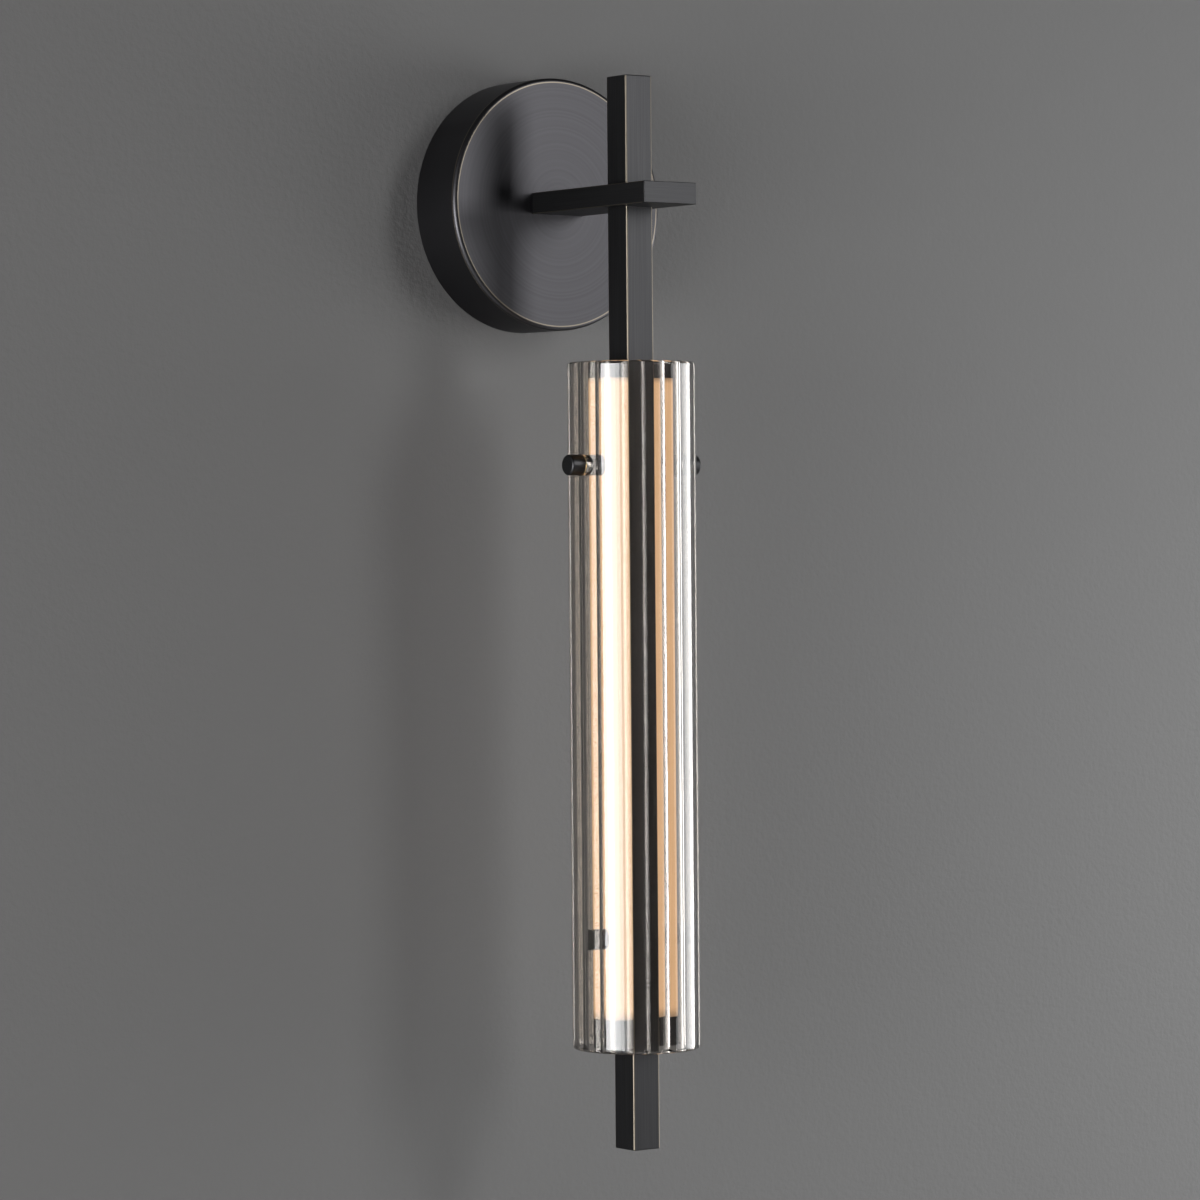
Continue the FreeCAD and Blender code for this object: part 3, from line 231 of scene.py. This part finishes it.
def round_about(degrees, distance, height):
    """A place round the glass: degrees to the right of straight in front of it."""
    turn = math.radians(degrees)
    return (distance * math.sin(turn), -bar_out - distance * math.cos(turn), height)


def bank(name, turns, glows, distance, height, tall):
    """A wide softbox whose light changes across it: upright lamps side by side on an arc round
    the glass, each between two angles and with its own brightness."""
    for first, last, glow in zip(turns, turns[1:], glows):
        wide = 2 * distance * math.tan(math.radians(last - first) / 2)
        softbox(f"{name}_{int(abs(first))}", round_about((first + last) / 2, distance, height),
                (0, -bar_out, height), wide, tall, glow * math.pi * wide * tall)


bank("left_softbox", (-92.5, -80, -72, -65, -58, -49), (17, 17, 16, 12, 5), 1.8, -0.302, 0.585)
bank("right_softbox", (38, 54, 62, 70, 91), (2.3, 4, 6, 8), 1.5, -0.29, 0.6)
bank("left_low", (-92.5, -72, -49), (3.5, 3), 1.8, -0.795, 0.4)
bank("right_low", (38, 62, 91), (1.2, 2.8), 1.5, -0.74, 0.3)
softbox("key_softbox", round_about(29, 3.0, 0.86), (0, -bar_out, -0.2), 0.75, 1.6, 33)
softbox("back_softbox", (0.4, 1.6, 0.3), (0, 0, 0), 1.0, 1.0, 6)

# Canopy, arm, bar, knobs and spacers: steel with a fine brushed, blackened finish. The tubes of
# arm and bar are brushed along their length. The canopy, a cup of sheet metal, and the turned
# knobs and spacers are brushed in rings. The eased edges of bar, arm and canopy are painted
# bright, partly as wear and partly as painted highlights along them.
canopy_radius = 0.060
canopy_depth = 0.0315
canopy_round = 0.002
# Bands for the bright edge lines, which are partly wear and partly painted highlights.
rim_line = (0.0001, 0.00035)
face_line = (0.0001, 0.0004)
on_rim = (canopy_radius - 0.0003, canopy_radius - 0.0001)
on_face = (canopy_depth - 0.0005, canopy_depth - 0.0002)
bar_edge_wear_and_highlight = (0.01425, 0.01455)
arm_edge_wear_and_highlight = (0.01955, 0.01985)
comb_scale = 2200.0
blackened = (0.042, 0.042, 0.044, 1)
rubbed = (0.052, 0.052, 0.054, 1)
canopy_shades = ((0.055, 0.054, 0.058, 1), (0.065, 0.064, 0.069, 1))
# Colour of the edge lines: worn bare metal and a painted highlight.
edge_wear_and_highlight = (0.20, 0.175, 0.14, 1)


def from_axis(place):
    """Distance from the line through the middle of the canopy, square to the wall."""
    across = place.axis("X")
    above = place.axis("Z")
    return (across * across + above * above) ** 0.5


def ringed(place, scale):
    """Noise that changes only with the distance from the axis of the canopy."""
    radius = from_axis(place)
    spot = radius.node("ShaderNodeCombineXYZ", X=radius, Y=0.0, Z=0.0)
    return spot.node("ShaderNodeTexNoise", Vector=spot, Scale=scale, Detail=3.0)


def combed(place, stretch):
    """Noise drawn out along one direction: stretch is small along it, 1 across it."""
    drawn = place.node("ShaderNodeVectorMath", settings={"operation": "MULTIPLY"}, in0=place,
                       in1=stretch)
    return drawn.node("ShaderNodeTexNoise", Vector=drawn, Scale=comb_scale, Detail=3.0)


def bar_edges(place):
    """1 where the distances from the bar's two middle planes add up to nearly their most."""
    return (abs(place.axis("X")) + abs(place.axis("Y") + bar_out)).smooth(*bar_edge_wear_and_highlight)


def arm_edges(place):
    """The same for the arm, which is wider than it is thick."""
    return (abs(place.axis("X")) + abs(place.axis("Z"))).smooth(*arm_edge_wear_and_highlight)


def canopy_edges(place):
    """1 in two fine rings, where the canopy's round edge meets its rim and where it meets its
    face: lines of painted highlight and of wear."""
    radius = from_axis(place)
    depth = 0 - place.axis("Y")
    at_rim = 1 - abs(depth - (canopy_depth - canopy_round)).smooth(*rim_line)
    at_face = 1 - abs(radius - (canopy_radius - canopy_round)).smooth(*face_line)
    return at_rim * radius.smooth(*on_rim) + at_face * depth.smooth(*on_face)


def dark_metal(name, pattern, edge=None, deep=0.06, shades=(blackened, rubbed)):
    """Blackened steel whose brushing follows the given noise, with wear and painted highlights
    where edge is 1.
    """
    material, place, shader, output = finish(name)
    lines = pattern(place)
    colour = lines.smooth(0.3, 0.7).mix(*shades)
    if edge:
        # Wear and painted highlight along the edges.
        colour = edge(place).mix(colour, edge_wear_and_highlight)
    feed(shader, Base_Color=colour, Metallic=1.0, Roughness=0.36 + lines * 0.06,
         Specular_Tint=(0.6, 0.6, 0.6, 1),
         Normal=lines.node("ShaderNodeBump", Height=lines, Strength=deep, Distance=0.0001))
    return material


def clad(item, material):
    """Gives a CAD node its material in place of any that it has."""
    item.data.materials.clear()
    item.data.materials.append(material)


metal_up = dark_metal("dark_metal_up", lambda place: combed(place, (1, 1, 0.01)), bar_edges)
metal_out = dark_metal("dark_metal_out", lambda place: combed(place, (1, 0.01, 1)), arm_edges)
metal_plain = dark_metal("dark_metal_plain", lambda place: combed(place, (1, 1, 0.01)))
metal_across = dark_metal("dark_metal_across", lambda place: combed(place, (0.01, 1, 1)))
metal_ring = dark_metal("dark_metal_ring", lambda place: ringed(place, 1600.0))
metal_canopy = dark_metal("dark_metal_canopy", lambda place: ringed(place, 650.0), canopy_edges,
                          deep=0.22, shades=canopy_shades)
for material, names in (
        (metal_canopy, ("canopy",)),
        (metal_out, ("arm_tube",)),
        (metal_across, ("arm_nose",)),
        (metal_up, ("bar_tube", "bar_cap_top", "bar_cap_bottom")),
        (metal_plain, ("strip_ends_left", "strip_ends_right")),
        (metal_ring, ("rim_screws", "thumb_knob_left", "thumb_knob_right", "spacer_upper_left",
                      "spacer_upper_right", "spacer_lower_left", "spacer_lower_right"))):
    for name in names:
        clad(nodes[name], material)


# Wall strap, screws, nuts, washers, studs, rods, earth lug and the arm's root block: steel with
# a bright zinc coat. The strap is bent from sheet, and the rest is turned or pressed.
def plain(name, colour, node_names, metallic=0.0, roughness=0.45):
    """One colour with a slight cloudy change, for small pieces."""
    material, place, shader, output = finish(name)
    cloud = place.node("ShaderNodeTexNoise", Vector=place, Scale=180.0, Detail=2.0)
    deeper = tuple(value * 0.88 for value in colour[:3]) + (1,)
    feed(shader, Base_Color=cloud.mix(deeper, colour), Metallic=metallic,
         Roughness=roughness - 0.1 + cloud * 0.2)
    for node_name in node_names:
        clad(nodes[node_name], material)


plain("bright_zinc", (0.62, 0.63, 0.65, 1),
      ["arm_root_block", "arm_screws", "arm_washers", "canopy_nuts", "canopy_studs",
       "cross_rod_lower", "cross_rod_upper", "earth_lug", "terminal_screws", "wall_bracket"],
      metallic=1.0, roughness=0.35)

# Knob washers and earth screw: turned brass. The washers sit in the recesses of the glass,
# under the knobs.
plain("turned_brass", (0.78, 0.55, 0.28, 1),
      ["earth_screw", "knob_washer_left", "knob_washer_right"], metallic=1.0, roughness=0.28)

# Rubber pieces: the grommet in the strap, the bush in the canopy, and all that keeps metal off
# the glass: gaskets, sleeves and the tips of the lower spacers. They are moulded and pushed on.
plain("black_rubber", (0.025, 0.025, 0.026, 1),
      ["glass_sleeve_left", "glass_sleeve_right", "inlet_grommet", "inner_gasket_left",
       "inner_gasket_right", "lead_bush", "spacer_tip_left", "spacer_tip_right"], roughness=0.6)

# Driver and terminal block: a white moulded case on two of the four studs welded inside the
# canopy, and a block of natural nylon on the other two, above it.
plain("white_case", (0.78, 0.78, 0.76, 1), ["led_driver"], roughness=0.5)
plain("natural_nylon", (0.70, 0.67, 0.58, 1), ["terminal_block"])

# Leads: insulated wires of 1.6 mm. Red and black run from the driver through the arm and bar
# to the strips, brown and blue join terminals and driver, and green is the earth.
plain("red_lead", (0.42, 0.02, 0.02, 1), ["strip_lead_plus"])
plain("black_lead", (0.02, 0.02, 0.02, 1), ["strip_lead_minus", "series_link"])
plain("brown_lead", (0.10, 0.035, 0.015, 1), ["driver_lead_live"])
plain("blue_lead", (0.02, 0.08, 0.35, 1), ["driver_lead_neutral"])
plain("green_lead", (0.08, 0.30, 0.04, 1), ["earth_lead"])

# Light strips: an aluminium channel on each side of the bar, clamped by the spacers that screw
# onto the rods, a white board of yellow chips in it, and over them a milky extruded cover. The
# cover is lit evenly from inside in a warm white, a little dimmer near both ends.
plain("channel_metal", (0.55, 0.55, 0.55, 1),
      ["strip_channel_left", "strip_channel_right"], metallic=1.0, roughness=0.4)
plain("board_white", (0.80, 0.80, 0.76, 1),
      ["strip_board_left", "strip_board_right"])
plain("chip_yellow", (0.85, 0.62, 0.16, 1), ["chips_left", "chips_right"],
      roughness=0.3)
cover_low = (-0.3825, -0.3775)
cover_high = (-0.0875, -0.0845)
cover_glow, place, shader, output = finish("milky_cover")
shine = place.axis("Z").smooth(*cover_low) * (1 - place.axis("Z").smooth(*cover_high))
feed(shader, Base_Color=(0.28, 0.22, 0.15, 1), Roughness=0.4,
     Emission_Color=(0.35 + shine * 0.65).mix((0, 0, 0, 1), rgb(205, 165, 125)),
     Emission_Strength=1.45)
for name in ("strip_cover_left", "strip_cover_right"):
    clad(nodes[name], cover_glow)

# Glass tube: thick clear glass, smooth and round outside, with 14 wide flutes inside that
# meet in ridges, rounded outside and bevelled inside at both ends. On each side a hole for the
# knob's stem opens into a shallow recess.
tube_axis = Vector((0.0, -bar_out, 0.0))
tube_top = -0.077
tube_low = -0.397
tube_radius = 0.030
bore_radius = 0.0235
bevel = 0.0015
flute_radius = 0.00955
flute_depth = 0.00105
flute_count = 14
flute_middle = bore_radius + flute_depth - flute_radius
flute_columns = 48
flute_end = bevel * 1.2
height_rows = 24
rim_round = 0.0015
rim_rows = 7
mid_wall = 0.0258
drill_height = -0.125
hole_radius = 0.004
recess_radius = 0.0052
recess_floor = 0.028
cut_end = 0.032


def mesh_object(name, points, faces, material):
    """Puts a list of points and faces into a mesh object at the origin."""
    mesh = bpy.data.meshes.new(name)
    mesh.from_pydata(points.tolist(), [], faces.tolist())
    mesh.materials.append(material)
    mesh.update()
    item = bpy.data.objects.new(name, mesh)
    bpy.context.scene.collection.objects.link(item)
    return item


def ring_faces(rows, columns):
    """Four-cornered faces of a grid whose rows and columns both run once round."""
    row = np.arange(rows)[:, None]
    column = np.arange(columns)[None, :]
    after_row = (row + 1) % rows
    after = (column + 1) % columns
    return np.stack([after_row * columns + column, after_row * columns + after,
                     row * columns + after, row * columns + column], axis=-1).reshape(-1, 4)


def flute_off(turn):
    """The angle from the middle of the nearest flute."""
    pitch = 2 * np.pi / flute_count
    return (turn + pitch / 2) % pitch - pitch / 2


def flute_reach(turn):
    """Distance from the axis to the circle of the flute, at each angle round the tube."""
    off = flute_off(turn)
    return (flute_middle * np.cos(off)
            + np.sqrt(flute_radius ** 2 - (flute_middle * np.sin(off)) ** 2))


def tube_rows(reach):
    """The profile from the upper rim down the outside and up the inside, each row its distance
    from the axis and its height, and the bevel where it cuts deeper than the flutes."""
    ease = np.linspace(0, np.pi / 2, rim_rows)
    rows = []
    for angle in ease:
        rows.append((tube_radius - rim_round * (1 - math.sin(angle)) + 0 * reach,
                     tube_top - rim_round * (1 - math.cos(angle)) + 0 * reach))
    for height in np.linspace(tube_top - rim_round, tube_low + rim_round, height_rows)[1:-1]:
        rows.append((tube_radius + 0 * reach, height + 0 * reach))
    for angle in ease[::-1]:
        rows.append((tube_radius - rim_round * (1 - math.sin(angle)) + 0 * reach,
                     tube_low + rim_round * (1 - math.cos(angle)) + 0 * reach))
    slope = bore_radius + bevel - reach
    rows.append((reach + slope, tube_low + 0 * reach))
    rows.append((reach, tube_low + slope))
    for height in np.linspace(tube_low + flute_end, tube_top - flute_end, height_rows):
        rows.append((reach, height + 0 * reach))
    rows.append((reach, tube_top - slope))
    rows.append((reach + slope, tube_top + 0 * reach))
    return rows


turns = np.linspace(0, 2 * np.pi, flute_count * flute_columns, endpoint=False)
profile = tube_rows(flute_reach(turns))
points = np.stack([np.stack([radius * np.cos(turns) + tube_axis.x,
                             radius * np.sin(turns) + tube_axis.y, height], axis=-1)
                   for radius, height in profile])
clear_glass, place, shader, output = finish("clear_glass")
streak = place.node("ShaderNodeTexNoise", Vector=place, Scale=18.0, Detail=1.0)
feed(shader, Base_Color=streak.mix((0.66, 0.62, 0.575, 1), (0.70, 0.66, 0.62, 1)),
     Roughness=0.0, IOR=1.5, Transmission_Weight=1.0)
glass = mesh_object("glass_pipe", points.reshape(-1, 3), ring_faces(len(profile), len(turns)),
                    clear_glass)


def round_bar(name, radius, start, end):
    """A closed cylinder along X at the height of the holes, to cut the glass with."""
    columns = 96
    turn = np.linspace(0, 2 * np.pi, columns, endpoint=False)
    cut_points = np.stack([np.stack([np.full_like(turn, x), tube_axis.y + radius * np.cos(turn),
                                     drill_height + radius * np.sin(turn)], axis=-1)
                           for x in (start, end)])
    side = ring_faces(2, columns)[:columns, ::-1]
    body = bpy.data.meshes.new(name)
    caps = [list(range(columns - 1, -1, -1)), list(range(columns, 2 * columns))]
    body.from_pydata(cut_points.reshape(-1, 3).tolist(), [], side.tolist() + caps)
    body.update()
    item = bpy.data.objects.new(name, body)
    bpy.context.scene.collection.objects.link(item)
    return item


cutters = [round_bar("stem_hole", hole_radius, -cut_end, cut_end),
           round_bar("recess_left", recess_radius, -cut_end, -recess_floor),
           round_bar("recess_right", recess_radius, recess_floor, cut_end)]
for cutter in cutters:
    step = glass.modifiers.new(cutter.name, "BOOLEAN")
    step.operation = "DIFFERENCE"
    step.solver = "EXACT"
    step.object = cutter
drilled = bpy.data.meshes.new_from_object(
    glass.evaluated_get(bpy.context.evaluated_depsgraph_get()))
glass.modifiers.clear()
glass.data = drilled
for cutter in cutters:
    bpy.data.meshes.remove(cutter.data)


def tube_normals(mesh):
    """The true direction of the surface at every corner of every face, worked out from which
    surface the face lies on, so that the long faces round the holes don't bend the light."""
    count = len(mesh.loops)
    spots = np.empty(len(mesh.vertices) * 3)
    mesh.vertices.foreach_get("co", spots)
    spots = spots.reshape(-1, 3)
    corner = np.empty(count, int)
    mesh.loops.foreach_get("vertex_index", corner)
    totals = np.empty(len(mesh.polygons), int)
    mesh.polygons.foreach_get("loop_total", totals)
    flat = np.empty(len(mesh.polygons) * 3)
    mesh.polygons.foreach_get("normal", flat)
    flat = np.repeat(flat.reshape(-1, 3), totals, axis=0)
    owner = np.repeat(np.arange(len(mesh.polygons)), totals)
    spot = spots[corner] - np.array(tube_axis)
    reach = np.hypot(spot[:, 0], spot[:, 1])
    turn = np.arctan2(spot[:, 1], spot[:, 0])
    outward = np.stack([np.cos(turn), np.sin(turn), np.zeros(count)], axis=-1)
    facing = (flat * outward).sum(axis=-1)
    normal = flat.copy()
    # Outside, with its two rounded rims
    over = np.clip((spot[:, 2] - (tube_top - rim_round)) / rim_round, 0, 1)
    under = np.clip((tube_low + rim_round - spot[:, 2]) / rim_round, 0, 1)
    lift = over - under
    outside = (facing > 0.05) & (reach > tube_radius - rim_round - 1e-5)
    rounded = outward * np.sqrt(np.maximum(1 - lift ** 2, 0))[:, None]
    rounded[:, 2] = lift
    normal[outside] = rounded[outside]
    # Flutes, seen from the inside of the tube
    middle = turn - flute_off(turn)
    hollow = np.stack([flute_middle * np.cos(middle) - spot[:, 0],
                       flute_middle * np.sin(middle) - spot[:, 1], np.zeros(count)], axis=-1)
    hollow /= np.linalg.norm(hollow, axis=-1, keepdims=True)
    inside = (facing < -0.5) & (np.abs(flat[:, 2]) < 0.3) & (reach < mid_wall)
    normal[inside] = hollow[inside]
    # Holes and recesses, round the line of the knobs
    drill = np.stack([np.zeros(count), -spot[:, 1], drill_height - spot[:, 2]], axis=-1)
    apart = np.linalg.norm(drill, axis=-1)
    drill /= np.maximum(apart, 1e-9)[:, None]
    near = 3e-5
    on_wall = (np.abs(apart - hole_radius) < near) | (np.abs(apart - recess_radius) < near)
    wall_share = np.bincount(owner, weights=on_wall) / totals
    bored = (wall_share[owner] > 0.99) & (np.abs(flat[:, 0]) < 0.1)
    normal[bored] = drill[bored]
    return normal


glass.data.polygons.foreach_set("use_smooth", np.full(len(glass.data.polygons), True))
glass.data.normals_split_custom_set(tube_normals(glass.data).tolist())
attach(glass, "root")
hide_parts("glass_tube")
